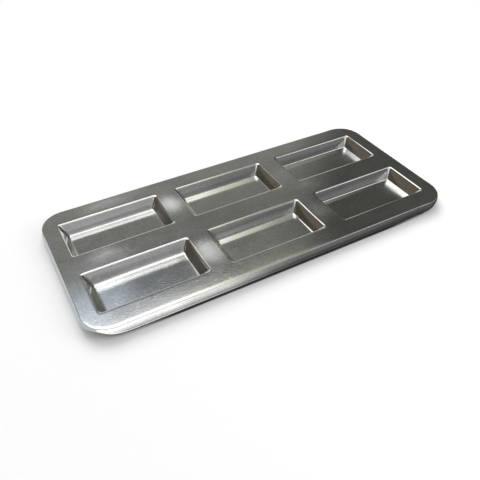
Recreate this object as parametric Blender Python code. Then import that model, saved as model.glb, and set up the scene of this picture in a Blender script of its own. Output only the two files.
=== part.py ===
"""Financier pan in tinned sheet steel.

One sheet is drawn into two rows of three splayed wells. Its edge is bent
down into a short skirt, which runs out at the corners, and the skirt's foot
is curled under around a steel wire. The wire is a piece of its own.
Metres, +Z up, origin at the centre of the base.
"""
import math

import bmesh
import bpy
import numpy as np

# Driving sizes, in metres and degrees

# wells, measured where the planes of plate, walls and floor would meet
WELL_COLUMNS = 3
WELL_ROWS = 2
MOUTH_LENGTH = 0.100
MOUTH_WIDTH = 0.050
WELL_DEPTH = 0.0113
WALL_LEAN = 30.0
MOUTH_BEND = 0.0015
FLOOR_BEND = 0.0015
MOUTH_CORNER = 0.0030
FLOOR_CORNER = 0.0020

# plate
SHEET = 0.0005
WEB_LENGTHWISE = 0.0210
WEB_CROSSWISE = 0.0265
END_MARGIN = 0.0144
SIDE_MARGIN = 0.0197
PLATE_CORNER = 0.0245

# skirt and wired edge
EDGE_BEND = 0.0010
SKIRT_LEAN = 10.0
WIRE_DIAMETER = 0.0016
WIRE_CLEARANCE = 0.0003
BEAD_PROUD = 0.0002
BEAD_NECK_RADIUS = 0.0009
CURL_TURN = 297.0
BASE_CLEARANCE = 0.0016
WIRE_END_GAP = 0.0006

# how the skirt runs out towards the middle of each corner
CORNER_WIRE_DROP = 0.0026
CORNER_RUN = 0.0300
CORNER_ROUND = 0.0030

# mesh fineness, in segments
WELL_CORNER_STEPS = 4
WELL_BEND_STEPS = 4
PLATE_CORNER_STEPS = 10
CORNER_RUN_STEPS = 3
EDGE_BEND_STEPS = 4
NECK_STEPS = 3
CURL_STEPS = 16

# Sizes that follow from the driving sizes
WALL_RUN = WELL_DEPTH * math.tan(math.radians(WALL_LEAN))
WALL_SLOPE = math.radians(90.0 - WALL_LEAN)
PITCH_X = MOUTH_LENGTH + WEB_LENGTHWISE
PITCH_Y = MOUTH_WIDTH + WEB_CROSSWISE
PLATE_HALF_X = (WELL_COLUMNS * PITCH_X - WEB_LENGTHWISE) / 2 + END_MARGIN
PLATE_HALF_Y = (WELL_ROWS * PITCH_Y - WEB_CROSSWISE) / 2 + SIDE_MARGIN
WIRE_RADIUS = WIRE_DIAMETER / 2
BEAD_RADIUS = WIRE_RADIUS + WIRE_CLEARANCE + SHEET
PLATE_TOP = WELL_DEPTH + SHEET
BEAD_CENTRE_DROP = PLATE_TOP - BASE_CLEARANCE - BEAD_RADIUS


def metal(name, colour, roughness):
    """Return a Principled metal material of one colour."""
    material = bpy.data.materials.new(name)
    material.use_nodes = True
    shader = material.node_tree.nodes["Principled BSDF"]
    shader.inputs["Base Color"].default_value = (*colour, 1.0)
    shader.inputs["Metallic"].default_value = 1.0
    shader.inputs["Roughness"].default_value = roughness
    return material


def link(name, data, material):
    """Add a named object with its material to the scene."""
    data.materials.append(material)
    made = bpy.data.objects.new(name, data)
    bpy.context.scene.collection.objects.link(made)
    return made


def rounded_rectangle(half_x, half_y, radius, steps):
    """Return the points of one anticlockwise loop, as rows of x and y."""
    turns = np.radians(np.linspace(0.0, 90.0, steps + 1))
    sides = ((1, 1), (-1, 1), (-1, -1), (1, -1))
    arcs = []
    for quarter, (side_x, side_y) in enumerate(sides):
        angles = turns + math.radians(90.0 * quarter)
        arcs.append(np.stack([side_x * (half_x - radius) + radius * np.cos(angles),
                              side_y * (half_y - radius) + radius * np.sin(angles)],
                             axis=1))
    return np.concatenate(arcs)


def well_section():
    """Return the well's section from the plate down to the floor.

    Each row is the distance outside the mouth edge and the height above
    the plate's face, which is negative.
    """
    mouth_tangent = MOUTH_BEND * math.tan(WALL_SLOPE / 2)
    floor_tangent = FLOOR_BEND * math.tan(WALL_SLOPE / 2)
    turns = np.linspace(0.0, WALL_SLOPE, WELL_BEND_STEPS + 1)
    mouth = np.stack([mouth_tangent - MOUTH_BEND * np.sin(turns),
                      -MOUTH_BEND * (1 - np.cos(turns))], axis=1)
    floor = np.stack([-WALL_RUN - floor_tangent + FLOOR_BEND * np.sin(turns),
                      -WELL_DEPTH + FLOOR_BEND * (1 - np.cos(turns))], axis=1)
    return np.concatenate([mouth, floor[::-1]])


def rim_track():
    """Return the places round the plate's edge, their outward ways and drops.

    The drop is how far the wire's centre lies below the plate's face. It
    lessens towards the middle of each corner, by the square of the share
    of the run that is left.
    """
    half_arc = PLATE_CORNER * math.pi / 4
    arc = np.linspace(-half_arc, half_arc, PLATE_CORNER_STEPS + 1)
    side = np.linspace(half_arc, CORNER_RUN, CORNER_RUN_STEPS + 1)[1:]
    along = np.concatenate([-side[::-1], arc, side])
    near = np.clip(along, -half_arc, half_arc)
    past = (along - near)[:, None]
    share = 1 - np.clip((np.hypot(along, CORNER_ROUND) - CORNER_ROUND)
                        / CORNER_RUN, 0.0, 1.0)
    drop = BEAD_CENTRE_DROP - (BEAD_CENTRE_DROP - CORNER_WIRE_DROP) * share ** 2
    places = []
    ways = []
    for quarter, corner in enumerate(((1, 1), (-1, 1), (-1, -1), (1, -1))):
        angles = near / PLATE_CORNER + math.radians(45.0 + 90.0 * quarter)
        away = np.stack([np.cos(angles), np.sin(angles)], axis=1)
        onward = np.stack([-np.sin(angles), np.cos(angles)], axis=1)
        centre = corner * (np.array([PLATE_HALF_X, PLATE_HALF_Y]) - PLATE_CORNER)
        places.append(centre + PLATE_CORNER * away + past * onward)
        ways.append(away)
    return np.concatenate(places), np.concatenate(ways), np.tile(drop, 4)


def rim_section(drop):
    """Return the rim's section and the place of the wire's centre.

    Each place is a distance outside the plate's nominal edge and a height
    above its face. The section turns down through the edge bend, runs down
    the skirt, flares out through the neck and curls under around the wire.
    Where the skirt is shorter the bend starts further out, so that the
    wire's plan stays the same.
    """
    slope = math.radians(90.0 - SKIRT_LEAN)
    flare = math.acos(1 - BEAD_PROUD / (BEAD_NECK_RADIUS + BEAD_RADIUS))

    def outward(angle):
        return np.stack([np.sin(angle), np.cos(angle)], axis=-1)

    start = np.array([(BEAD_CENTRE_DROP - drop) / math.tan(slope), 0.0])
    turns = np.linspace(0.0, slope, EDGE_BEND_STEPS + 1)
    bend = start + EDGE_BEND * (outward(turns) - outward(0.0))
    reach = (BEAD_NECK_RADIUS * outward(slope)
             - (BEAD_NECK_RADIUS + BEAD_RADIUS) * outward(slope - flare))
    skirt = (drop + bend[-1, 1] + reach[1]) / math.sin(slope)
    foot = bend[-1] + skirt * np.array([math.cos(slope), -math.sin(slope)])
    wire_centre = foot + reach
    turns = np.linspace(slope, slope - flare, NECK_STEPS + 1)
    neck = foot + BEAD_NECK_RADIUS * (outward(slope) - outward(turns))
    turns = np.linspace(0.0, math.radians(CURL_TURN), CURL_STEPS + 1)[1:]
    curl = wire_centre + BEAD_RADIUS * outward(slope - flare + turns)
    return np.concatenate([bend, neck, curl]), wire_centre


def add_loop(shape, loop, height):
    """Add a flat loop of vertices to the mesh and return them in order."""
    return [shape.verts.new((x, y, height)) for x, y in loop]


def skin(shape, loops):
    """Join each loop of vertices to the next one with four-sided faces."""
    for upper, lower in zip(loops[:-1], loops[1:]):
        for i, corner in enumerate(upper):
            j = (i + 1) % len(upper)
            shape.faces.new((corner, lower[i], lower[j], upper[j]))


def add_well(shape, centre):
    """Add one well's face to the mesh and return the loop at its mouth."""
    section = well_section()
    shares = (section[:, 0] - section[-1, 0]) / (section[0, 0] - section[-1, 0])
    corners = FLOOR_CORNER + (MOUTH_CORNER - FLOOR_CORNER) * shares
    loops = []
    for (out, height), corner in zip(section, corners):
        loop = centre + rounded_rectangle(MOUTH_LENGTH / 2 + out,
                                          MOUTH_WIDTH / 2 + out,
                                          corner, WELL_CORNER_STEPS)
        loops.append(add_loop(shape, loop, PLATE_TOP + height))
    skin(shape, loops)
    shape.faces.new(loops[-1])
    return loops[0]


def add_rim(shape):
    """Add the skirt and its curl to the mesh and return the plate's edge."""
    columns = []
    for place, way, drop in zip(*rim_track()):
        section, _ = rim_section(drop)
        columns.append([shape.verts.new((*(place + way * out), PLATE_TOP + height))
                        for out, height in section])
    loops = list(zip(*columns))
    skin(shape, loops)
    return loops[0]


def pressed_tray(material):
    """Make the pressed sheet: plate, wells, skirt and curled edge."""
    shape = bmesh.new()
    edge_loops = [add_rim(shape)]
    for row in range(WELL_ROWS):
        for column in range(WELL_COLUMNS):
            centre = np.array([(column - (WELL_COLUMNS - 1) / 2) * PITCH_X,
                               (row - (WELL_ROWS - 1) / 2) * PITCH_Y])
            edge_loops.append(add_well(shape, centre))
    edges = []
    for loop in edge_loops:
        for i, first in enumerate(loop):
            edges.append(shape.edges.get((first, loop[(i + 1) % len(loop)])))
    bmesh.ops.triangle_fill(shape, use_beauty=True, edges=edges,
                            normal=(0.0, 0.0, 1.0))
    bmesh.ops.recalc_face_normals(shape, faces=shape.faces)
    mesh = bpy.data.meshes.new("pressed_tray")
    shape.to_mesh(mesh)
    shape.free()
    mesh.shade_smooth()
    tray = link("pressed_tray", mesh, material)
    sheet = tray.modifiers.new("sheet thickness", "SOLIDIFY")
    sheet.thickness = SHEET
    sheet.offset = -1.0
    sheet.use_even_offset = True


def rim_wire(material):
    """Make the wire inside the curled edge, its two ends butted."""
    loop = []
    for place, way, drop in zip(*rim_track()):
        _, (out, height) = rim_section(drop)
        loop.append((*(place + way * out), PLATE_TOP + height))
    corner_count = len(loop) // 4
    _, half_y, side_height = loop[corner_count - 1]
    route = [(-WIRE_END_GAP / 2, half_y, side_height)]
    route += loop[corner_count:] + loop[:corner_count]
    route += [(WIRE_END_GAP / 2, half_y, side_height)]
    curve = bpy.data.curves.new("rim_wire", "CURVE")
    curve.dimensions = "3D"
    curve.twist_mode = "Z_UP"
    curve.bevel_depth = WIRE_RADIUS
    curve.bevel_resolution = 4
    curve.use_fill_caps = True
    spline = curve.splines.new("POLY")
    spline.points.add(len(route) - 1)
    for point, spot in zip(spline.points, route):
        point.co = (*spot, 1.0)
    link("rim_wire", curve, material)


for old in list(bpy.data.objects):
    bpy.data.objects.remove(old, do_unlink=True)

pressed_tray(metal("tinned_sheet", (0.60, 0.60, 0.60), 0.30))
rim_wire(metal("tinned_wire", (0.52, 0.52, 0.53), 0.40))
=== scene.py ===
"""Financier pan: one pressed sheet of tinplate with a wired edge.

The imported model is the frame. The sheet and its edge wire are made again
here in the same places, with finer bends, the slight unevenness of a
pressed sheet and their own finishes. Metres, +Z up; the wells stand on the
floor at height zero.
"""
import logging
import math
from collections.abc import Callable, Mapping, Sequence
from dataclasses import dataclass
from enum import Enum

import bmesh
import bpy
import numpy as np
from bpy.types import Material, Object
from mathutils import Matrix, Vector


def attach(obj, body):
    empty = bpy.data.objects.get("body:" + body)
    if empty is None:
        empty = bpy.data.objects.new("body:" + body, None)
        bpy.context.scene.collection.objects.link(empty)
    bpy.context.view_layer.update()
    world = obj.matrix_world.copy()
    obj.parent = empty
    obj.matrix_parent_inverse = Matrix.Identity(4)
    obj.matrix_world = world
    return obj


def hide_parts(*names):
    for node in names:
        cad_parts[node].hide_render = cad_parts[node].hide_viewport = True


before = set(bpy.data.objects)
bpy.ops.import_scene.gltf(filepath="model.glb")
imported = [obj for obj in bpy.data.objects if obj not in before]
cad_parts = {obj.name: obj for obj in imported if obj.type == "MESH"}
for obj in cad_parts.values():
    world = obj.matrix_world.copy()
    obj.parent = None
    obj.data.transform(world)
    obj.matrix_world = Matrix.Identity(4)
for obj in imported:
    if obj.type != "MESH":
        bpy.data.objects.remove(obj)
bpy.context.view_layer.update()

log = logging.getLogger("financier_pan")
Triple = tuple[float, float, float]
Span = tuple[float, float]
Spans = tuple[Span, ...]
Noise = tuple[object, ...]
Arrays = tuple[np.ndarray, np.ndarray]
# In metres: points closer than WELD are one, and less than SLIVER is nothing.
WELD = 2e-6
SLIVER = 1e-7


class Seen(Enum):
    """Which rays see a piece of studio equipment."""

    BY_ALL = "all"
    IN_GLOSS = "gloss"


def arithmetic(operation: str, turned: bool = False) -> Callable[..., "Term"]:
    """Make an operator of Term.

    Args:
        operation: the Math node's operation.
        turned: whether the other value comes first.

    Returns:
        The operator.
    """
    def operator(term: "Term", other: object) -> "Term":
        """Return the result of one Math node."""
        first, second = (other, term) if turned else (term, other)
        return term.graph.maths(operation, first, second)

    return operator


class Term:
    """One output socket that takes part in sums written in Python."""

    def __init__(self, graph: "Graph", socket: bpy.types.NodeSocket) -> None:
        """Keep the socket and the graph that new nodes go into."""
        self.graph = graph
        self.socket = socket

    __add__ = __radd__ = arithmetic("ADD")
    __mul__ = __rmul__ = arithmetic("MULTIPLY")
    __sub__ = arithmetic("SUBTRACT")
    __rsub__ = arithmetic("SUBTRACT", turned=True)
    __truediv__ = arithmetic("DIVIDE")


class Graph:
    """A node tree that is filled by expressions."""

    def __init__(self, tree: bpy.types.NodeTree) -> None:
        """Keep the tree and empty it."""
        self.tree = tree
        tree.nodes.clear()

    def add(self, kind: str, settings: Mapping[str, object] | None = None,
            sockets: Mapping[object, object] | None = None,
            output: object = 0) -> Term:
        """Add one node.

        Args:
            kind: the node's type, less "ShaderNode".
            settings: properties by name; "stops" holds a ramp's places and
                colours.
            sockets: terms or plain values by socket name or number.
            output: name or number of the output that is wanted.

        Returns:
            The wanted output.
        """
        node = self.tree.nodes.new("ShaderNode" + kind)
        for name, value in (settings or {}).items():
            if name == "stops":
                ramp = node.color_ramp.elements
                while len(ramp) < len(value):
                    ramp.new(0.5)
                for stop, (spot, colour) in zip(ramp, value):
                    stop.position = spot
                    stop.color = (*colour, 1.0)
            else:
                setattr(node, name, value)
        for name, value in (sockets or {}).items():
            if isinstance(value, Term):
                self.tree.links.new(value.socket, node.inputs[name])
            else:
                node.inputs[name].default_value = value
        return Term(self, node.outputs[output])

    def maths(self, operation: str, first: object, second: object = 0.0) -> Term:
        """Return the result of one Math node, which may not need second."""
        return self.add("Math", {"operation": operation}, {0: first, 1: second})

    def close(self, surface: Term, kind: str = "OutputMaterial") -> None:
        """Lead a shader into the tree's output node of that kind."""
        end = self.tree.nodes.new("ShaderNode" + kind)
        self.tree.links.new(surface.socket, end.inputs["Surface"])

    def cover(self, share: Term, surface: Term) -> None:
        """Close the tree with a surface where share is 1, clear where it is 0."""
        self.close(self.add("MixShader", None, {
            0: share, 1: self.add("BsdfTransparent"), 2: surface}))

    def metal(self, tone: Term, rough: Term, height: Term, distance: float) -> None:
        """Close the tree with a metal.

        Args:
            tone: its colour.
            rough: its roughness.
            height: its grain, from 0 to 1.
            distance: the grain's full height.
        """
        bump = self.add("Bump", None, {"Strength": 1.0, "Distance": distance,
                                       "Height": height})
        self.close(self.add("BsdfPrincipled", None, {
            "Base Color": tone, "Metallic": 1.0, "Roughness": rough,
            "Normal": bump}))

    def here(self) -> Term:
        """Return the place in the object's own coordinates."""
        return self.add("TexCoord", output="Object")

    def noise(self, scale: Triple, detail: float = 2.0, rough: float = 0.5,
              shift: Triple = (0.0, 0.0, 0.0)) -> Term:
        """Return noise between 0 and 1 over the object's own coordinates.

        Args:
            scale: pattern units per metre along each axis.
            detail: how many finer octaves there are.
            rough: how strong the finer octaves are.
            shift: in pattern units.

        Returns:
            The noise.
        """
        points = self.add("Mapping", None, {
            "Vector": self.here(), "Scale": scale, "Location": shift})
        return self.add("TexNoise", None, {
            "Vector": points, "Scale": 1.0, "Detail": detail, "Roughness": rough})

    def step(self, value: Term, low: float, high: float) -> Term:
        """Return a smooth step of value, 0 at low and 1 at high."""
        return self.add("MapRange", {"interpolation_type": "SMOOTHSTEP"},
                        {"Value": value, "From Min": low, "From Max": high})

    def size(self, value: Term) -> Term:
        """Return value without its sign."""
        return self.maths("ABSOLUTE", value)

    def over(self, value: Term) -> Term:
        """Return value, or zero where it is below zero."""
        return self.maths("MAXIMUM", value, 0.0)

    def band(self, value: Term, low: float, high: float, soft: float) -> Term:
        """Return 1 where value lies between low and high, with soft ends."""
        return (self.step(value, low - soft, low + soft)
                * (1.0 - self.step(value, high - soft, high + soft)))

    def tint(self, share: Term, first: "Triple | Term",
             second: "Triple | Term") -> Term:
        """Return a mix of two colours, the first where share is 0."""
        ends = [end if isinstance(end, Term) else (*end, 1.0)
                for end in (first, second)]
        return self.add("Mix", {"data_type": "RGBA"},
                        {0: share, 6: ends[0], 7: ends[1]}, 2)

    def parts(self, points: Term) -> tuple[Term, ...]:
        """Return the x, y and z of a vector."""
        first = self.add("SeparateXYZ", None, {"Vector": points})
        return tuple(Term(self, end) for end in first.socket.node.outputs)

    def ramp(self, value: Term, tones: Sequence[Span], low: float, span: float,
             top: float = 1.0) -> Term:
        """Return a tone that runs in straight steps through given places.

        Args:
            value: where the tone is wanted.
            tones: places and tones, in order of place.
            low: where the ramp starts.
            span: the ramp's length.
            top: a tone that none of them passes, 1 or more.

        Returns:
            The tone.
        """
        stops = [((place - low) / span, (tone / top,) * 3) for place, tone in tones]
        share = self.add("ValToRGB", {"stops": stops}, {"Fac": (value - low) / span})
        return self.parts(share)[0] * top


def fresh(name: str) -> tuple[Material, Graph]:
    """Make a material with an empty node tree.

    Args:
        name: the material's name.

    Returns:
        The material and the graph of its nodes.
    """
    material = bpy.data.materials.new(name)
    material.use_nodes = True
    return material, Graph(material.node_tree)


@dataclass(frozen=True)
class Tinplate:
    """Rolled tinned sheet: softly glossy, finely grained along x, a little
    smudged, with rougher patches whose paler colour is painted sheen.
    """

    colour: Triple = (0.82, 0.825, 0.815)
    dull: Triple = (0.64, 0.64, 0.635)
    pale: Triple = (0.88, 0.91, 0.93)
    roughness: float = 0.11
    satin_and_sheen: float = 0.30
    satin_fall: float = 0.7
    satin_smudges: Span = (0.55, 0.9)
    wear: Triple = (0.35, 0.65, 0.4)
    worn_through: Span = (0.30, 0.70)
    unevenness: Span = (0.08, 0.05)
    grain_height: float = 0.00002
    grain: Noise = ((420.0, 1500.0, 1500.0), 3.0, 0.65)
    lines: Noise = ((15.0, 15.0, 700.0), 2.0, 0.6, (0.4, 0.9, 0.3))
    mottle: Noise = ((600.0, 900.0, 900.0), 2.0, 0.7, (1.3, 0.2, 0.7))
    smudge: Noise = ((35.0, 60.0, 60.0), 3.0, 0.6, (3.1, 1.7, 0.4))
    # Rougher patches at given places; their paler colour is painted sheen, a brighter
    # reflection laid into the colour.
    satin_and_sheen_patches: tuple[tuple[float, ...], ...] = (
        (-0.064, 0.042, 0.010, 0.013, 1.05), (-0.061, -0.040, 0.011, 0.013, 0.85),
        (0.062, 0.039, 0.009, 0.010, 0.25), (0.073, 0.008, 0.014, 0.013, 0.35),
        (0.061, -0.037, 0.010, 0.010, 0.50), (-0.143, 0.001, 0.016, 0.010, 0.40),
        (-0.119, 0.075, 0.028, 0.008, 0.42), (0.156, -0.038, 0.009, 0.012, 0.35),
        (0.156, 0.038, 0.009, 0.012, 0.35))

    def patch(self, graph: Graph, x: Term, y: Term, spot: Sequence[float]) -> Term:
        """Return one soft patch on the plate, a bell curve each way.

        Args:
            graph: the material's graph.
            x: place along the pan.
            y: place across the pan.
            spot: the patch's middle x and y, its half sizes and strength.

        Returns:
            The strength in the middle, fading outwards.
        """
        middle_x, middle_y, half_x, half_y, strength = spot
        across = (x - middle_x) / half_x
        along = (y - middle_y) / half_y
        reach = across * across + along * along
        return graph.maths("POWER", math.exp(-self.satin_fall), reach) * strength

    def material(self) -> Material:
        """Make the sheet's material.

        Returns:
            The material.
        """
        material, graph = fresh("tinplate")
        x, y, _ = graph.parts(graph.here())
        grain, lines, mottle, smudge = (graph.noise(*pattern) for pattern in (
            self.grain, self.lines, self.mottle, self.smudge))
        satin_and_sheen = self.patch(graph, x, y, self.satin_and_sheen_patches[0])
        for spot in self.satin_and_sheen_patches[1:]:
            satin_and_sheen = satin_and_sheen + self.patch(graph, x, y, spot)
        satin_and_sheen = satin_and_sheen * (self.satin_smudges[0] + smudge * self.satin_smudges[1])
        worn = (smudge * self.wear[0] + mottle * self.wear[1]
                + (lines - 0.5) * self.wear[2])
        tone = graph.tint(graph.step(worn, *self.worn_through), self.dull, self.colour)
        # Painted sheen: the patches' paler colour. The roughness they add below is real.
        tone = graph.tint(satin_and_sheen, tone, self.pale)
        rough = (self.roughness + (mottle - 0.5) * self.unevenness[0]
                 + (smudge - 0.5) * self.unevenness[1] + satin_and_sheen * self.satin_and_sheen)
        graph.metal(tone, rough, grain, self.grain_height)
        return material


@dataclass(frozen=True)
class TinnedWire:
    """Drawn tinned wire: a little darker than the sheet, with fine lines."""

    colour: Triple = (0.70, 0.70, 0.69)
    dull: Triple = (0.56, 0.56, 0.56)
    roughness: float = 0.36
    unevenness: float = 0.1
    dull_patches: Span = (0.4, 0.7)
    line_height: float = 0.00002
    lines: Noise = ((300.0, 300.0, 6000.0), 2.0)
    patches: Noise = ((150.0, 150.0, 150.0), 3.0)

    def material(self) -> Material:
        """Make the wire's material.

        Returns:
            The material.
        """
        material, graph = fresh("tinned_wire")
        lines = graph.noise(*self.lines)
        patches = graph.noise(*self.patches)
        dull = graph.step(patches, *self.dull_patches)
        graph.metal(graph.tint(dull, self.colour, self.dull),
                    self.roughness + patches * self.unevenness, lines,
                    self.line_height)
        return material


@dataclass(frozen=True)
class Track:
    """Places round a rounded rectangle, anticlockwise from its right side.

    A place is the rectangle's middle, plus share times its half sizes less
    the corner radius, plus the radius times aim. On a side share runs from
    -1 to 1 and aim points straight out; round a corner share stays and aim
    turns by a quarter.
    """

    share: np.ndarray
    aim: np.ndarray

    @classmethod
    def laid(cls, along_x: int, along_y: int, corner: int) -> "Track":
        """Lay out a track.

        Args:
            along_x: steps along each side in x.
            along_y: steps along each side in y.
            corner: steps round each corner.

        Returns:
            The track.
        """
        shares = []
        aims = []
        turns = np.linspace(0.0, math.pi / 2, corner + 1)
        for quarter in range(4):
            count = along_y if quarter % 2 == 0 else along_x
            run = np.linspace(-1.0, 1.0, count + 1)[1:-1]
            side = np.stack([np.ones_like(run), run], axis=1)
            knee = np.ones((corner + 1, 2))
            angle = np.concatenate([np.zeros_like(run), turns])
            spin = quarter * math.pi / 2
            turned = np.linalg.matrix_power(np.array([[0, 1], [-1, 0]]), quarter)
            shares.append(np.concatenate([side, knee]) @ turned)
            aims.append(np.stack([np.cos(angle + spin),
                                  np.sin(angle + spin)], axis=1))
        return cls(np.concatenate(shares), np.concatenate(aims))

    def loop(self, low: Sequence[float], high: Sequence[float], radius: float,
             square: np.ndarray | None = None) -> np.ndarray:
        """Return the places round one rounded rectangle.

        A square corner is the round one with each aim drawn out to the
        corner's two sides, which keeps its number of places.

        Args:
            low: lowest x and y.
            high: highest x and y.
            radius: corner radius.
            square: for each place, whether its corner is square.

        Returns:
            Rows of x and y.
        """
        middle = (np.asarray(low) + np.asarray(high)) / 2
        half = (np.asarray(high) - np.asarray(low)) / 2
        aim = self.aim
        if square is not None:
            drawn = aim / np.abs(aim).max(axis=1, keepdims=True)
            aim = np.where(square[:, None], drawn, aim)
        return middle + self.share * (half - radius) + aim * radius


def joined(name: str, grids: Sequence[np.ndarray],
           ring: bool = True) -> Object:
    """Weld grids of points into one open skin.

    Args:
        name: the object's name.
        grids: rows, from outside to inside, by places, anticlockwise, by x,
            y and z.
        ring: whether each row's last place joins its first.

    Returns:
        The linked object, smooth shaded, at the origin.
    """
    faces = []
    count = 0
    for grid in grids:
        rows, places = grid.shape[:2]
        index = count + np.arange(rows * places).reshape(rows, places)
        if ring:
            index = np.concatenate([index, index[:, :1]], axis=1)
        faces.append(np.stack([index[:-1, :-1], index[:-1, 1:], index[1:, 1:],
                               index[1:, :-1]], axis=-1).reshape(-1, 4))
        count += rows * places
    mesh = bpy.data.meshes.new(name)
    mesh.from_pydata(np.concatenate([grid.reshape(-1, 3) for grid in grids]), [],
                     np.concatenate(faces).tolist())
    shape = bmesh.new()
    shape.from_mesh(mesh)
    bmesh.ops.remove_doubles(shape, verts=shape.verts, dist=WELD)
    bmesh.ops.dissolve_degenerate(shape, dist=SLIVER, edges=shape.edges)
    shape.to_mesh(mesh)
    shape.free()
    mesh.shade_smooth()
    made = bpy.data.objects.new(name, mesh)
    bpy.context.scene.collection.objects.link(made)
    log.info("%s: %d faces", name, len(mesh.polygons))
    return made


def eased(share: np.ndarray) -> np.ndarray:
    """Return a smooth step of share, from 0 at 0 to 1 at 1."""
    share = np.clip(share, 0.0, 1.0)
    return share ** 2 * (3.0 - 2.0 * share)


def radial(angle: np.ndarray | float) -> np.ndarray:
    """Return the unit direction, out and up, at an angle from straight up."""
    return np.stack([np.sin(angle), np.cos(angle)], axis=-1)


@dataclass
class PressedTray:
    """The pressed sheet: plate, wells, skirt and curled edge."""

    columns: int = 3
    rows: int = 2
    mouth: Span = (0.100, 0.050)
    web: Span = (0.021, 0.0265)
    depth: float = 0.0113
    wall_lean: float = 30.0
    mouth_bend: float = 0.0021
    floor_bend: float = 0.0020
    mouth_corner: float = 0.0030
    floor_corner: float = 0.0020
    sheet: float = 0.0005
    plate_half: Span = (0.1854, 0.08295)
    plate_corner: float = 0.0245
    edge_bend: float = 0.0007
    skirt_lean: float = 10.0
    bead_radius: float = 0.00159
    bead_drop: float = 0.0086
    corner_drop: float = 0.0026
    corner_run: float = 0.030
    corner_round: float = 0.003
    bead_proud: float = 0.0001
    neck_radius: float = 0.0009
    curl_turn: float = 297.0
    swell: float = 0.00003
    swell_waves: Spans = ((0.031, 0.6), (0.024, 1.1))
    web_dip: float = 0.0003
    web_reach: float = 0.020
    web_fade: float = 0.014
    back_falls: tuple[Spans, ...] = (
        ((0.012, -0.0004), (0.012, 0.0003), (0.005, 0.0)),
        ((0.012, 0.0002), (0.008, 0.0), (0.005, 0.0)))
    right_falls: tuple[Spans, ...] = (
        ((0.010, 0.0001), (0.010, 0.0), (0.015, 0.0005)),
        ((0.010, 0.0001), (0.010, 0.0), (0.014, 0.0004)))
    left_falls: tuple[Spans, ...] = (
        ((0.034, 0.0005), (0.010, 0.0), (0.010, 0.0)),
        ((0.010, 0.0), (0.010, 0.0), (0.010, 0.0)))
    wall_bulge: float = 0.00018
    spine_half: float = 0.024
    web_crowding: float = 0.8
    track_steps: tuple[int, int, int] = (32, 16, 12)
    web_steps: int = 8
    well_bend_steps: int = 6
    wall_steps: int = 6
    floor_steps: int = 16
    edge_bend_steps: int = 8
    skirt_steps: int = 5
    neck_steps: int = 3
    curl_steps: int = 18

    @property
    def wall_run(self) -> float:
        """How far the wall runs inwards on its way down."""
        return self.depth * math.tan(math.radians(self.wall_lean))

    @property
    def track(self) -> Track:
        """The places round each well."""
        return Track.laid(*self.track_steps)

    def cells(self) -> list[tuple[int, int]]:
        """Return the row, from the front, and the column of each well."""
        return [(row, column) for row in range(self.rows)
                for column in range(self.columns)]

    def centres(self) -> np.ndarray:
        """Return the middles of the wells, as rows by columns by x and y."""
        x, y = ((np.arange(count) - (count - 1) / 2) * pitch for count, pitch
                in zip((self.columns, self.rows), np.add(self.mouth, self.web)))
        return np.stack(np.meshgrid(x, y), axis=-1)

    def relief(self, x: np.ndarray, y: np.ndarray) -> np.ndarray:
        """Return how far the pressed plate dips at a place, in metres.

        A slow swell, two crossed waves, plus a dip in each web between
        columns: a squared cosine along the wells' sides, which fades out
        beside the web.

        Args:
            x: places along the pan.
            y: places across the pan.

        Returns:
            Heights of zero or below.
        """
        waves = [np.sin(place / length + shift) for place, (length, shift)
                 in zip((x, y), self.swell_waves)]
        dip = self.swell * (waves[0] * waves[1] - 1.0)
        centres = self.centres()
        for web in (centres[0, 1:, 0] + centres[0, :-1, 0]) / 2:
            across = eased((self.web_reach - np.abs(x - web)) / self.web_fade)
            for row in centres[:, 0, 1]:
                along = np.clip((y - row) / (self.mouth[1] / 2), -1.0, 1.0)
                dip = dip - self.web_dip * across * np.cos(along * math.pi / 2) ** 2
        return dip

    def floor_lift(self, row: int, column: int, places: np.ndarray) -> np.ndarray:
        """Return how far a well's floor has sprung up.

        Along its back edge and at its two ends the raised floor falls by a
        height over a span, in a smooth step, or rises there where the height
        is below zero.

        Args:
            row: the well's row from the front.
            column: the well's column from the left.
            places: rows by places by x and y.

        Returns:
            A height for each place.
        """
        inside = places - self.centres()[row, column]
        half = np.array(self.mouth) / 2 - self.wall_run
        lift = np.zeros(places.shape[:-1])
        for reach, falls in ((inside[..., 0] - half[0], self.right_falls),
                             (-inside[..., 0] - half[0], self.left_falls),
                             (inside[..., 1] - half[1], self.back_falls)):
            span, height = falls[row][column]
            lift = lift + max(height, 0.0) - height * eased(reach / span + 1.0)
        return lift

    def well_section(self) -> np.ndarray:
        """Work out the well's section from plate to floor.

        Two tangent arcs, the mouth bend and the floor bend, are joined by
        the leaning wall, which is straight but for a slight belly, half a
        sine wave.

        Returns:
            Rows of the distance outside the mouth edge and the height above
            the plate's face.
        """
        slope = math.radians(90.0 - self.wall_lean)
        arc = radial(np.linspace(0.0, slope, self.well_bend_steps + 1))
        arc = (math.tan(slope / 2), -1.0) - arc * (1.0, -1.0)
        mouth = self.mouth_bend * arc
        floor = ((-self.wall_run, -self.depth) - self.floor_bend * arc)[::-1]
        share = np.linspace(0.0, 1.0, self.wall_steps + 1)[1:-1, None]
        wall = (mouth[-1] + (floor[0] - mouth[-1]) * share
                - self.wall_bulge * np.sin(share * math.pi)
                * (math.sin(slope), -math.cos(slope)))
        return np.concatenate([mouth, wall, floor])

    def outline(self, row: int, column: int) -> np.ndarray:
        """Return the places round one well's cell, its share of the plate.

        The plate's own corners are round and the cell's other corners square.

        Args:
            row: the well's row from the front.
            column: the well's column from the left.

        Returns:
            Rows of x and y.
        """
        centre = self.centres()[row, column]
        half = np.add(self.mouth, self.web) / 2
        edge = np.array(self.plate_half)
        first = np.array([column == 0, row == 0])
        last = np.array([column == self.columns - 1, row == self.rows - 1])
        track = self.track
        square = (np.fix(track.share) != last.astype(int) - first).any(axis=1)
        return track.loop(np.where(first, -edge, centre - half),
                          np.where(last, edge, centre + half),
                          self.plate_corner, square)

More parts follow.
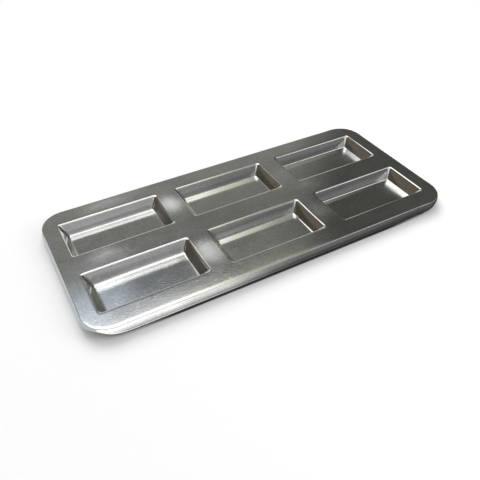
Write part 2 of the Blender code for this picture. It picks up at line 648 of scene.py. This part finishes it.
    def well(self, row: int, column: int) -> np.ndarray:
        """Return the grid of one well with its share of the plate.

        Rows run from the cell's outline over the web to the mouth, down
        the section and over the floor to its middle line.

        Args:
            row: the well's row from the front.
            column: the well's column from the left.

        Returns:
            Rows by places by x, y and z.
        """
        centre = self.centres()[row, column]
        half = np.array(self.mouth) / 2
        outline = self.outline(row, column)
        away, on_edge = self.edge_ways(outline)
        outline = outline + (away * self.edge_shift(outline)[:, None]
                             * on_edge[:, None])
        section = self.well_section()
        corners = np.interp(section[:, 0], section[[-1, 0], 0],
                            (self.floor_corner, self.mouth_corner))
        loops = [self.track.loop(centre - half - out, centre + half + out, radius)
                 for (out, _), radius in zip(section, corners)]
        share = np.linspace(0.0, 1.0, self.web_steps + 1)[:-1, None, None] \
            ** self.web_crowding
        web = outline + (loops[0] - outline) * share
        last = loops[-1]
        spine_end = np.array([self.spine_half, 0.0])
        spine = np.clip(last - centre, -spine_end, spine_end) + centre
        share = np.linspace(0.0, 1.0, self.floor_steps + 1)[1:, None, None]
        floor = last + (spine - last) * share
        flat = np.concatenate([web, np.stack(loops), floor])
        height = np.concatenate([np.zeros(len(web)), section[:, 1],
                                 np.full(len(floor), section[-1, 1])])
        low = np.clip(-height / self.depth, 0.0, 1.0)[:, None] ** 3
        lift = self.floor_lift(row, column, flat) * low
        return self.raised(flat, height[:, None] + lift)

    def raised(self, flat: np.ndarray, height: np.ndarray) -> np.ndarray:
        """Give places their heights, with the plate's relief fading downwards.

        Args:
            flat: rows by places by x and y.
            height: heights above the plate's face, for each row or each place.

        Returns:
            Rows by places by x, y and z.
        """
        height = height.reshape(len(height), -1)
        dip = self.relief(flat[..., 0], flat[..., 1]) * (1.0 + height / self.depth)
        top = self.depth + self.sheet
        return np.concatenate([flat, (top + height + dip)[..., None]], axis=-1)

    def edge_ways(self, places: np.ndarray) -> Arrays:
        """Return the outward ways at places and which lie on the plate's edge.

        Args:
            places: rows of x and y.

        Returns:
            A unit vector for each place, and whether the place lies on the
            plate's nominal outline.
        """
        inner = np.array(self.plate_half) - self.plate_corner
        away = places - np.clip(places, -inner, inner)
        reach = np.linalg.norm(away, axis=1)
        on_edge = np.abs(reach - self.plate_corner) < SLIVER
        return away / np.maximum(reach, SLIVER)[:, None], on_edge

    def drop(self, places: np.ndarray) -> np.ndarray:
        """Return how far the wire lies below the plate's face at its edge.

        With t the distance along the edge from the corner's middle, rounded
        at its start and counted in shares of the run, the drop is the
        corner's own plus the rest times one less the square of 1 - t.

        Args:
            places: places on the plate's nominal outline.

        Returns:
            One distance for each place.
        """
        away, _ = self.edge_ways(places)
        inner = np.array(self.plate_half) - self.plate_corner
        turn = np.arctan2(np.abs(away[:, 1]), np.abs(away[:, 0])) - math.pi / 4
        along = (self.plate_corner * np.abs(turn)
                 + np.maximum(inner - np.abs(places), 0.0).sum(axis=1))
        along = np.hypot(along, self.corner_round) - self.corner_round
        share = 1.0 - np.clip(along / self.corner_run, 0.0, 1.0)
        return self.bead_drop - (self.bead_drop - self.corner_drop) * share ** 2

    def edge_shift(self, places: np.ndarray) -> np.ndarray:
        """Return how far out the plate runs to make up for a shorter skirt."""
        return (self.bead_drop - self.drop(places)) \
            * math.tan(math.radians(self.skirt_lean))

    def rim_section(self, places: np.ndarray) -> Arrays:
        """Return the rim's sections and the wire's middles in them.

        Tangent arcs and a straight, from the plate's edge to the curl's end:
        the edge bend, the leaning skirt, the neck that flares out and the
        curl that turns under round the wire. The skirt is as long as the
        wire's drop asks for.

        Args:
            places: places on the plate's nominal outline.

        Returns:
            The sections, as rows by places, and the wire's middles, each by
            the distance outside the nominal outline and the height above
            the plate's face.
        """
        slope = math.radians(90.0 - self.skirt_lean)
        flare = math.acos(1 - self.bead_proud / (self.neck_radius + self.bead_radius))
        reach = self.neck_radius * radial(slope) \
            - (self.neck_radius + self.bead_radius) * radial(slope - flare)
        shift = self.edge_shift(places)
        arc = radial(np.linspace(0.0, slope, self.edge_bend_steps + 1)) - radial(0.0)
        bend = np.stack([shift, np.zeros_like(shift)], axis=-1) \
            + self.edge_bend * arc[:, None]
        length = (self.drop(places) + bend[-1, :, 1] + reach[1]) / math.sin(slope)
        skirt = length[:, None] * (math.cos(slope), -math.sin(slope))
        foot = bend[-1] + skirt
        share = np.linspace(0.0, 1.0, self.skirt_steps + 1)[1:-1, None, None]
        turns = np.linspace(slope, slope - flare, self.neck_steps + 1)
        neck = foot + self.neck_radius * (radial(slope) - radial(turns))[:, None]
        turns = np.linspace(0.0, math.radians(self.curl_turn), self.curl_steps + 1)[1:]
        curl = foot + reach \
            + self.bead_radius * radial(slope - flare + turns)[:, None]
        return np.concatenate([bend, bend[-1] + skirt * share, neck, curl]), foot + reach

    def edge_places(self) -> np.ndarray:
        """Find the places of the wells' cells on the plate's nominal outline.

        Returns:
            Rows of x and y, in order of their angle round the pan's middle.
        """
        places = np.concatenate([self.outline(row, column)
                                 for row, column in self.cells()])
        places = places[self.edge_ways(places)[1]]
        angle = np.round(np.arctan2(places[:, 1], places[:, 0]), 7)
        _, order = np.unique(angle, return_index=True)
        return places[order]

    def rim(self) -> np.ndarray:
        """Work out the rim's grid.

        Returns:
            Its rows, from the curl's end up to the plate's edge.
        """
        places = self.edge_places()
        away, _ = self.edge_ways(places)
        section = self.rim_section(places)[0][::-1]
        return self.raised(places + away * section[..., :1], section[..., 1])

    def build(self, finish: Tinplate) -> None:
        """Make the sheet, which rides on the root body.

        Args:
            finish: the sheet's finish.
        """
        wells = [self.well(row, column) for row, column in self.cells()]
        tray = joined("tinplate_sheet", [self.rim(), *wells])
        wall = tray.modifiers.new("sheet thickness", "SOLIDIFY")
        wall.thickness = self.sheet
        wall.offset = -1.0
        wall.use_even_offset = True
        tray.data.materials.append(finish.material())
        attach(tray, "root")
        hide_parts("pressed_tray")


@dataclass
class RimWire:
    """The round wire inside the curled edge, butted behind the pan."""

    tray: PressedTray
    radius: float = 0.0008
    gap: float = 0.0006
    around: int = 20

    def route(self) -> Arrays:
        """Lay the wire's path.

        It starts beside the butt at the middle of the back long side, runs
        once round the pan and ends at the butt's other side.

        Returns:
            The wire's centre line and its outward ways.
        """
        places = self.tray.edge_places()
        angle = np.arctan2(places[:, 1], places[:, 0])
        places = places[np.argsort((angle - math.pi / 2) % (2 * math.pi))]
        butt = np.array([0.0, self.tray.plate_half[1]])
        places = places[np.linalg.norm(places - butt, axis=1) > self.gap]
        half_gap = np.array([[self.gap / 2, 0.0]])
        places = np.concatenate([butt - half_gap, places, butt + half_gap])
        away, _ = self.tray.edge_ways(places)
        _, centre = self.tray.rim_section(places)
        flat = places + away * centre[:, :1]
        return self.tray.raised(flat[None], centre[None, :, 1])[0], away

    def build(self, finish: TinnedWire) -> None:
        """Make the wire, which rides on the root body.

        A circle is carried along the route, upright and square to it, and
        each end is closed by a ring shrunk to a point.

        Args:
            finish: the wire's finish.
        """
        route, away = self.route()
        outward = np.concatenate([away, np.zeros((len(away), 1))], axis=1)
        turns = np.linspace(0.0, 2 * math.pi, self.around + 1)[:-1, None]
        tube = route[:, None] + self.radius * (np.cos(turns) * outward[:, None]
                                               + np.sin(turns) * (0.0, 0.0, 1.0))
        caps = [np.broadcast_to(route[end], tube[:1].shape) for end in (0, -1)]
        wire = joined("tinned_edge_wire", [np.concatenate([caps[0], tube, caps[1]])])
        wire.data.materials.append(finish.material())
        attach(wire, "root")
        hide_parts("rim_wire")


@dataclass(frozen=True)
class Viewpoint:
    """Where the photograph was taken from, in degrees, metres and pixels."""

    target: Triple = (-0.02971, -0.04025, 0.0118)
    turn: float = -28.556
    climb: float = 40.798
    roll: float = -0.579
    distance: float = 0.5017
    focal_pixels: float = 545.18
    frame_pixels: float = 480.0
    nearest: float = 0.01

    def place(self) -> None:
        """Make the scene's camera."""
        data = bpy.data.cameras.new("camera")
        data.lens = self.focal_pixels / self.frame_pixels * data.sensor_width
        data.clip_start = self.nearest
        camera = bpy.data.objects.new("camera", data)
        matrix = Matrix.Translation(self.target)
        for angle, axis in ((self.turn, "Z"), (90.0 - self.climb, "X"),
                            (self.roll, "Z")):
            matrix = matrix @ Matrix.Rotation(math.radians(angle), 4, axis)
        camera.matrix_world = matrix @ Matrix.Translation((0.0, 0.0, self.distance))
        bpy.context.scene.collection.objects.link(camera)
        bpy.context.scene.camera = camera


@dataclass(frozen=True)
class Panel:
    """An upright panel in the room round the pan.

    Ways are in degrees, clockwise from straight behind the pan as seen from
    above; climbs are degrees above the floor.
    """

    ways: Span
    soft: float
    top: Span
    lean: float = 0.0

    def area(self, graph: Graph, way: Term, climb: Term) -> Term:
        """Return 1 on the panel and 0 off it."""
        return (graph.band(way, *self.ways, self.soft)
                * (1.0 - graph.step(climb + way * self.lean, *self.top)))


@dataclass(frozen=True)
class Room:
    """The dim room round the pan, as the metal mirrors it.

    Its tone runs with the way. It is lighter high up behind the pan, a
    brown wall dims its left, and a low bar dims it before the pan. Over
    that lie a low window on the left, a small box over the front and a
    white backdrop behind.
    """

    tones: Spans = (
        (-180, 0.35), (-120, 0.13), (-60, 0.15), (0, 0.19), (20, 0.18),
        (36, 0.18), (42, 0.068), (95, 0.12), (125, 0.21), (155, 0.20), (168, 0.42))
    high_behind: Span = (1.12, 1.38)
    high_gain: float = 0.35
    wall: Panel = Panel((-150.0, -36.0), 8.0, (38.0, 52.0))
    wall_dimming: float = 0.35
    wall_tint: Triple = (1.0, 0.86, 0.68)
    bar_ways: Span = (125.0, 140.0)
    bar_climbs: Triple = (16.0, 20.0, 1.0)
    bar_dimming: float = 0.40
    window: Panel = Panel((-150.0, -80.0), 5.0, (20.0, 27.0))
    window_tone: float = 0.75
    front_along: Triple = (-1.3, -0.3, 0.1)
    front_across: Triple = (0.25, 1.1, 0.1)
    front_tone: float = 1.3
    backdrop: Panel = Panel((-14.0, 37.0), 2.0, (20.0, 29.0), 0.12)
    backdrop_tone: float = 0.9
    front_ways: Span = (90.0, 130.0)
    back_tint: Triple = (1.0, 1.0, 0.91)

    def laid(self, graph: Graph, way: Term, climb: Term, across: Term,
             along: Term) -> tuple[Term, Term]:
        """Lay out the room.

        Args:
            graph: the tent's graph.
            way: way from the pan, in degrees.
            climb: climb from the floor, in degrees.
            across: x / z of the way from the pan.
            along: y / z of it.

        Returns:
            The room's tone and its tint.
        """
        wall = self.wall.area(graph, way, climb)
        backdrop = self.backdrop.area(graph, way, climb)
        bar = (graph.step(graph.size(way), *self.bar_ways)
               * graph.band(climb, *self.bar_climbs))
        box = (graph.band(along, *self.front_along)
               * graph.band(across, *self.front_across))
        level = (graph.ramp(way, self.tones, -180.0, 360.0)
                 * (1.0 + graph.step(along, *self.high_behind) * self.high_gain)
                 * (1.0 - wall * self.wall_dimming)
                 * (1.0 - bar * self.bar_dimming))
        for area, tone in ((self.window.area(graph, way, climb), self.window_tone),
                           (box, self.front_tone), (backdrop, self.backdrop_tone)):
            level = level + area * (tone - level)
        white = (1.0, 1.0, 1.0)
        tint = graph.tint(graph.step(graph.size(way), *self.front_ways),
                          self.back_tint, white)
        tint = graph.tint(wall, tint, self.wall_tint)
        return level, graph.tint(backdrop, tint, white)


@dataclass(frozen=True)
class SoftBox:
    """The long soft box over the pan, as the metal mirrors it.

    Its places, across and along, are those on a flat ceiling at height one,
    and an edge is a span in which it fades out. Its tone runs with a skewed
    place: across, bent to the left round the middle and shifted at the right
    edge's step. It rises behind the middle, falls near the back edge and is
    dimmed there in a bar.
    """

    tones: Spans = (
        (0.37, 0.96), (0.41, 0.88), (0.44, 0.62), (0.48, 0.54), (0.52, 0.35),
        (0.58, 0.28), (0.64, 0.23), (0.70, 0.20), (0.80, 0.17))
    tones_start: float = 0.36
    tones_length: float = 0.5
    front_edge: Span = (-1.3, -1.0)
    back_edge: Span = (0.94, 1.055)
    left_edge: Span = (-0.35, -0.15)
    left_step: Span = (0.75, 0.90)
    left_shift: float = 0.45
    right_edge: Span = (0.70, 0.86)
    right_step: Span = (0.83, 0.89)
    right_shift: float = 0.24
    skew_start: float = 0.09
    skew_reach: float = 0.30
    skew_lean: float = 0.30
    gain_along: Span = (0.0, 0.28)
    fall_along: Span = (0.79, 0.91)
    fall: float = 0.55
    bar_along: Triple = (0.86, 0.935, 0.02)
    bar_across: Span = (0.04, 0.13)
    bar_dimming: Span = (0.18, 0.53)
    lamp_tint: Triple = (1.0, 1.0, 0.97)
    edge_tint: Triple = (1.0, 0.99, 0.84)
    edge_across: Span = (0.36, 0.50)
    back_tint: Triple = (0.80, 0.95, 1.12)
    back_along: Span = (0.82, 0.92)

    def laid(self, graph: Graph, across: Term, along: Term) -> tuple[Term, Term, Term]:
        """Lay out the box.

        Args:
            graph: the tent's graph.
            across: x / z of the way from the pan.
            along: y / z of it.

        Returns:
            Where the box lies, its tone and its tint.
        """
        skew = (across + self.skew_start
                - graph.over(self.skew_reach - graph.size(along)) * self.skew_lean
                + graph.step(along, *self.right_step) * self.right_shift)
        left = across + (1.0 - graph.step(along, *self.left_step)) * self.left_shift
        area = (graph.step(along, *self.front_edge)
                * (1.0 - graph.step(along, *self.back_edge))
                * graph.step(left, *self.left_edge)
                * (1.0 - graph.step(skew, *self.right_edge)))
        dimming, more = self.bar_dimming
        bar = (graph.band(along, *self.bar_along)
               * (dimming + graph.step(across, *self.bar_across) * more))
        tone = (graph.ramp(skew, self.tones, self.tones_start, self.tones_length)
                * (1.0 + graph.step(along, *self.gain_along))
                * (1.0 - graph.step(along, *self.fall_along) * self.fall)
                * (1.0 - bar))
        tint = graph.tint(graph.step(skew, *self.edge_across),
                          self.lamp_tint, self.edge_tint)
        tint = graph.tint(graph.step(along, *self.back_along), tint, self.back_tint)
        return area, tone, tint


@dataclass(frozen=True)
class Studio:
    """A pale floor with a painted shade under the pan, soft light and what the metal
    mirrors.
    """

    floor_half: float = 3.0
    floor_height: float = -0.00005
    floor_tone: float = 0.97
    floor_fade: Span = (0.24, 0.5)
    foot_core: Span = (0.1609, 0.05845)
    # The floor's painted contact shade under the pan: its tone, where it ends and where
    # it fades at the corners.
    foot_shadow_tone: float = 0.11
    foot_shade: Span = (0.0259, 0.0271)
    foot_ends: Spans = ((0.110, 0.155), (0.020, 0.055))
    under_fade: float = 0.02
    world_level: float = 0.60
    tent_radius: float = 4.0
    tent_foot: float = 3.0
    tent_steps: tuple[int, int] = (96, 29)
    room: Room = Room()
    box: SoftBox = SoftBox()
    table_half: float = 0.3
    table_height: float = 0.0004
    table_reach: Span = (0.02, 0.10)
    table_soft: float = 0.0006
    # Painted reflection for the skirt: tones along the front, a painted shade close to
    # the foot and the left side's tone.
    front_reflection_tones: Spans = (
        (-0.11, 1.45), (-0.09, 1.05), (-0.06, 0.95), (-0.04, 0.64),
        (-0.015, 0.33), (0.01, 0.22), (0.06, 0.19), (0.17, 0.12))
    front_top: float = 1.5
    front_reflection_tint: Triple = (1.0, 1.0, 0.985)
    foot_mirrored_shade: Span = (0.029, 0.044)
    foot_mirrored_shade_depth: float = 0.97
    left_reflection_tone: float = 0.65
    left_reflection_tint: Triple = (0.93, 0.985, 1.0)
    left_turns: Span = (46.0, 56.0)
    left_start: Span = (-0.165, -0.16)
    lamps: tuple[tuple[Triple, Span, float], ...] = (
        ((0.5, 2.3, 2.4), (2.8, 2.2), 0.45), ((0.75, -0.6, 0.5), (0.5, 0.5), 0.10))

    def stage_mesh(self, name: str, grid: np.ndarray,
                   material: Material, seen: Seen) -> None:
        """Make one piece of studio equipment from a grid of points.

        Args:
            name: the object's name.
            grid: rows by places by x, y and z.
            material: its material.
            seen: which rays see it.
        """
        made = joined(name, [grid], ring=False)
        made.data.materials.append(material)
        for ray in ("camera", "diffuse", "shadow", "transmission", "volume_scatter"):
            setattr(made, "visible_" + ray, seen is Seen.BY_ALL)
        log.info("%s: stage, seen by %s rays", name, seen.value)

    def square(self, half: float, height: float) -> np.ndarray:
        """Lay out a level square that faces up.

        Args:
            half: half its side.
            height: how high it lies.

        Returns:
            Its grid, rows by places by x, y and z.
        """
        span = np.linspace(-half, half, 3)
        x, y = np.meshgrid(span, span)
        return np.stack([x, y, np.full_like(x, height)], axis=-1)

    def beside_pan(self, graph: Graph, x: Term, y: Term) -> Term:
        """Return the distance from the rectangle within the plate's corners."""
        over = [graph.over(graph.size(place) - half)
                for place, half in zip((x, y), self.foot_core)]
        return graph.maths("SQRT", over[0] * over[0] + over[1] * over[1])

    def floor(self) -> None:
        """Lay the pale floor, which fades into the white surroundings.

        It lies a hair under the wells and is clear from below. So that the
        underside shows there, it is also clear to reflections under the
        pan's middle. Under the pan its colour holds a painted contact shade,
        nearly black as far as the bead, but pale under the raised corners.
        """
        material, graph = fresh("pale_floor")
        spot = graph.here()
        x, y, _ = graph.parts(spot)
        sizes = (graph.size(x), graph.size(y))
        # Painted contact shade: the floor's colour is nearly black under the pan as far
        # as the bead, fading out at the corners.
        painted_shade = 1.0 - graph.step(self.beside_pan(graph, x, y), *self.foot_shade)
        corner = (graph.step(sizes[0], *self.foot_ends[0])
                  * graph.step(sizes[1], *self.foot_ends[1]))
        white = graph.add("BsdfDiffuse", None, {
            "Color": graph.tint(painted_shade * (1.0 - corner), (self.floor_tone,) * 3,
                                (self.foot_shadow_tone,) * 3)})
        far = graph.step(graph.add("VectorMath", {"operation": "LENGTH"},
                                   {0: spot}, "Value"), *self.floor_fade)
        below = graph.add("NewGeometry", output="Backfacing")
        under = graph.add("LightPath", output="Is Glossy Ray")
        for size, half in zip(sizes, self.foot_core):
            under = under * (1.0 - graph.step(size, half - self.under_fade, half))
        graph.cover(1.0 - (far + below + under), white)
        self.stage_mesh("floor", self.square(self.floor_half, self.floor_height),
                        material, Seen.BY_ALL)

    def world(self) -> None:
        """Make the surroundings white to the eye and to reflections."""
        world = bpy.data.worlds.new("surroundings")
        bpy.context.scene.world = world
        world.use_nodes = True
        graph = Graph(world.node_tree)
        ray = [graph.add("LightPath", output=f"Is {kind} Ray")
               for kind in ("Camera", "Glossy", "Transmission")]
        shown = graph.maths("MINIMUM", ray[0] + ray[1] + ray[2], 1.0)
        level = self.world_level + shown * (1.0 - self.world_level)
        graph.close(graph.add("Background", None,
                              {"Color": (1.0, 1.0, 1.0, 1.0), "Strength": level}),
                    "OutputWorld")

    def tent(self) -> None:
        """Hang a dome round the pan that bears the room under the soft box."""
        material, graph = fresh("studio_tent")
        x, y, z = graph.parts(graph.here())
        way = graph.maths("ARCTAN2", x, y) * (180 / math.pi)
        climb = graph.maths("ARCSINE", z / self.tent_radius) * (180 / math.pi)
        across, along = x / z, y / z
        level, tint = self.room.laid(graph, way, climb, across, along)
        area, tone, box_tint = self.box.laid(graph, across, along)
        graph.close(graph.add("Emission", None,
                              {"Color": graph.tint(area, tint, box_tint),
                               "Strength": level + area * (tone - level)}))
        turns = np.linspace(0.0, 2 * math.pi, self.tent_steps[0] + 1)
        climbs = np.linspace(self.tent_foot, 90.0, self.tent_steps[1] + 1)
        climbs = np.radians(climbs)[:, None]
        grid = self.tent_radius * np.stack(np.broadcast_arrays(
            np.cos(turns) * np.cos(climbs), np.sin(turns) * np.cos(climbs),
            np.sin(climbs)), axis=-1)
        self.stage_mesh("studio_tent", grid, material, Seen.IN_GLOSS)

    def painted_reflection_sheet(self) -> None:
        """Lay the table's tones beside the pan on a sheet that only reflections
        see: a painted reflection for the skirt to mirror.

        The painted tone runs from light at the left to dim at the right along
        the front, and close to the foot it is nearly black, a painted shade for
        the bead's underside to mirror. Round the left front corner's middle it
        turns to the left side's tone. Under the pan and far from it the sheet
        is clear.
        """
        material, graph = fresh("painted_reflection_sheet")
        x, y, _ = graph.parts(graph.here())
        away = self.beside_pan(graph, x, y)
        front = graph.ramp(x, self.front_reflection_tones, -0.2, 0.4, self.front_top)
        turn = graph.maths("ARCTAN2", -1.0 * x - self.foot_core[0],
                           -1.0 * y - self.foot_core[1]) * (180 / math.pi)
        left = (graph.step(turn, *self.left_turns)
                * (1.0 - graph.step(x, *self.left_start)))
        # Painted shade close to the foot, nearly black, for the bead's underside to
        # mirror.
        painted_shade = (1.0 - graph.step(away, *self.foot_mirrored_shade)) * (1.0 - left)
        level = ((front + left * (self.left_reflection_tone - front))
                 * (1.0 - painted_shade * self.foot_mirrored_shade_depth))
        painted_reflection = graph.add("Emission", None, {
            "Color": graph.tint(left, self.front_reflection_tint, self.left_reflection_tint),
            "Strength": level})
        graph.cover(graph.band(away, *self.table_reach, self.table_soft), painted_reflection)
        self.stage_mesh("painted_reflection_sheet", self.square(self.table_half, self.table_height),
                        material, Seen.IN_GLOSS)

    def hang(self, place: Triple, size: Span, share: float) -> None:
        """Hang a soft lamp that points at the pan.

        Args:
            place: where it hangs.
            size: its sides.
            share: how much of the floor's white it gives under the pan.
        """
        spot = Vector(place)
        data = bpy.data.lights.new("soft_lamp", "AREA")
        data.shape = "RECTANGLE"
        data.size, data.size_y = size
        data.energy = share * math.pi ** 2 * spot.length ** 3 / spot.z
        lamp = bpy.data.objects.new("soft_lamp", data)
        lamp.location = spot
        lamp.rotation_euler = spot.to_track_quat("Z", "Y").to_euler()
        lamp.visible_glossy = False
        bpy.context.scene.collection.objects.link(lamp)
        log.info("%s: %.0f W", lamp.name, data.energy)

    def build(self) -> None:
        """Set up floor, surroundings, reflections and lamps.

        A lamp behind the pan shades the floor before it, and a small one at
        the right of the front lightens that shade.
        """
        self.floor()
        self.world()
        self.tent()
        self.painted_reflection_sheet()
        for lamp in self.lamps:
            self.hang(*lamp)
        bpy.context.scene.view_settings.view_transform = "Standard"


def main() -> None:
    """Build the pan's pieces, the studio and the camera, in that order."""
    logging.basicConfig(level=logging.INFO, format="%(name)s: %(message)s")
    tray = PressedTray()
    tray.build(Tinplate())
    RimWire(tray).build(TinnedWire())
    Studio().build()
    Viewpoint().place()


if __name__ == "__main__":
    main()
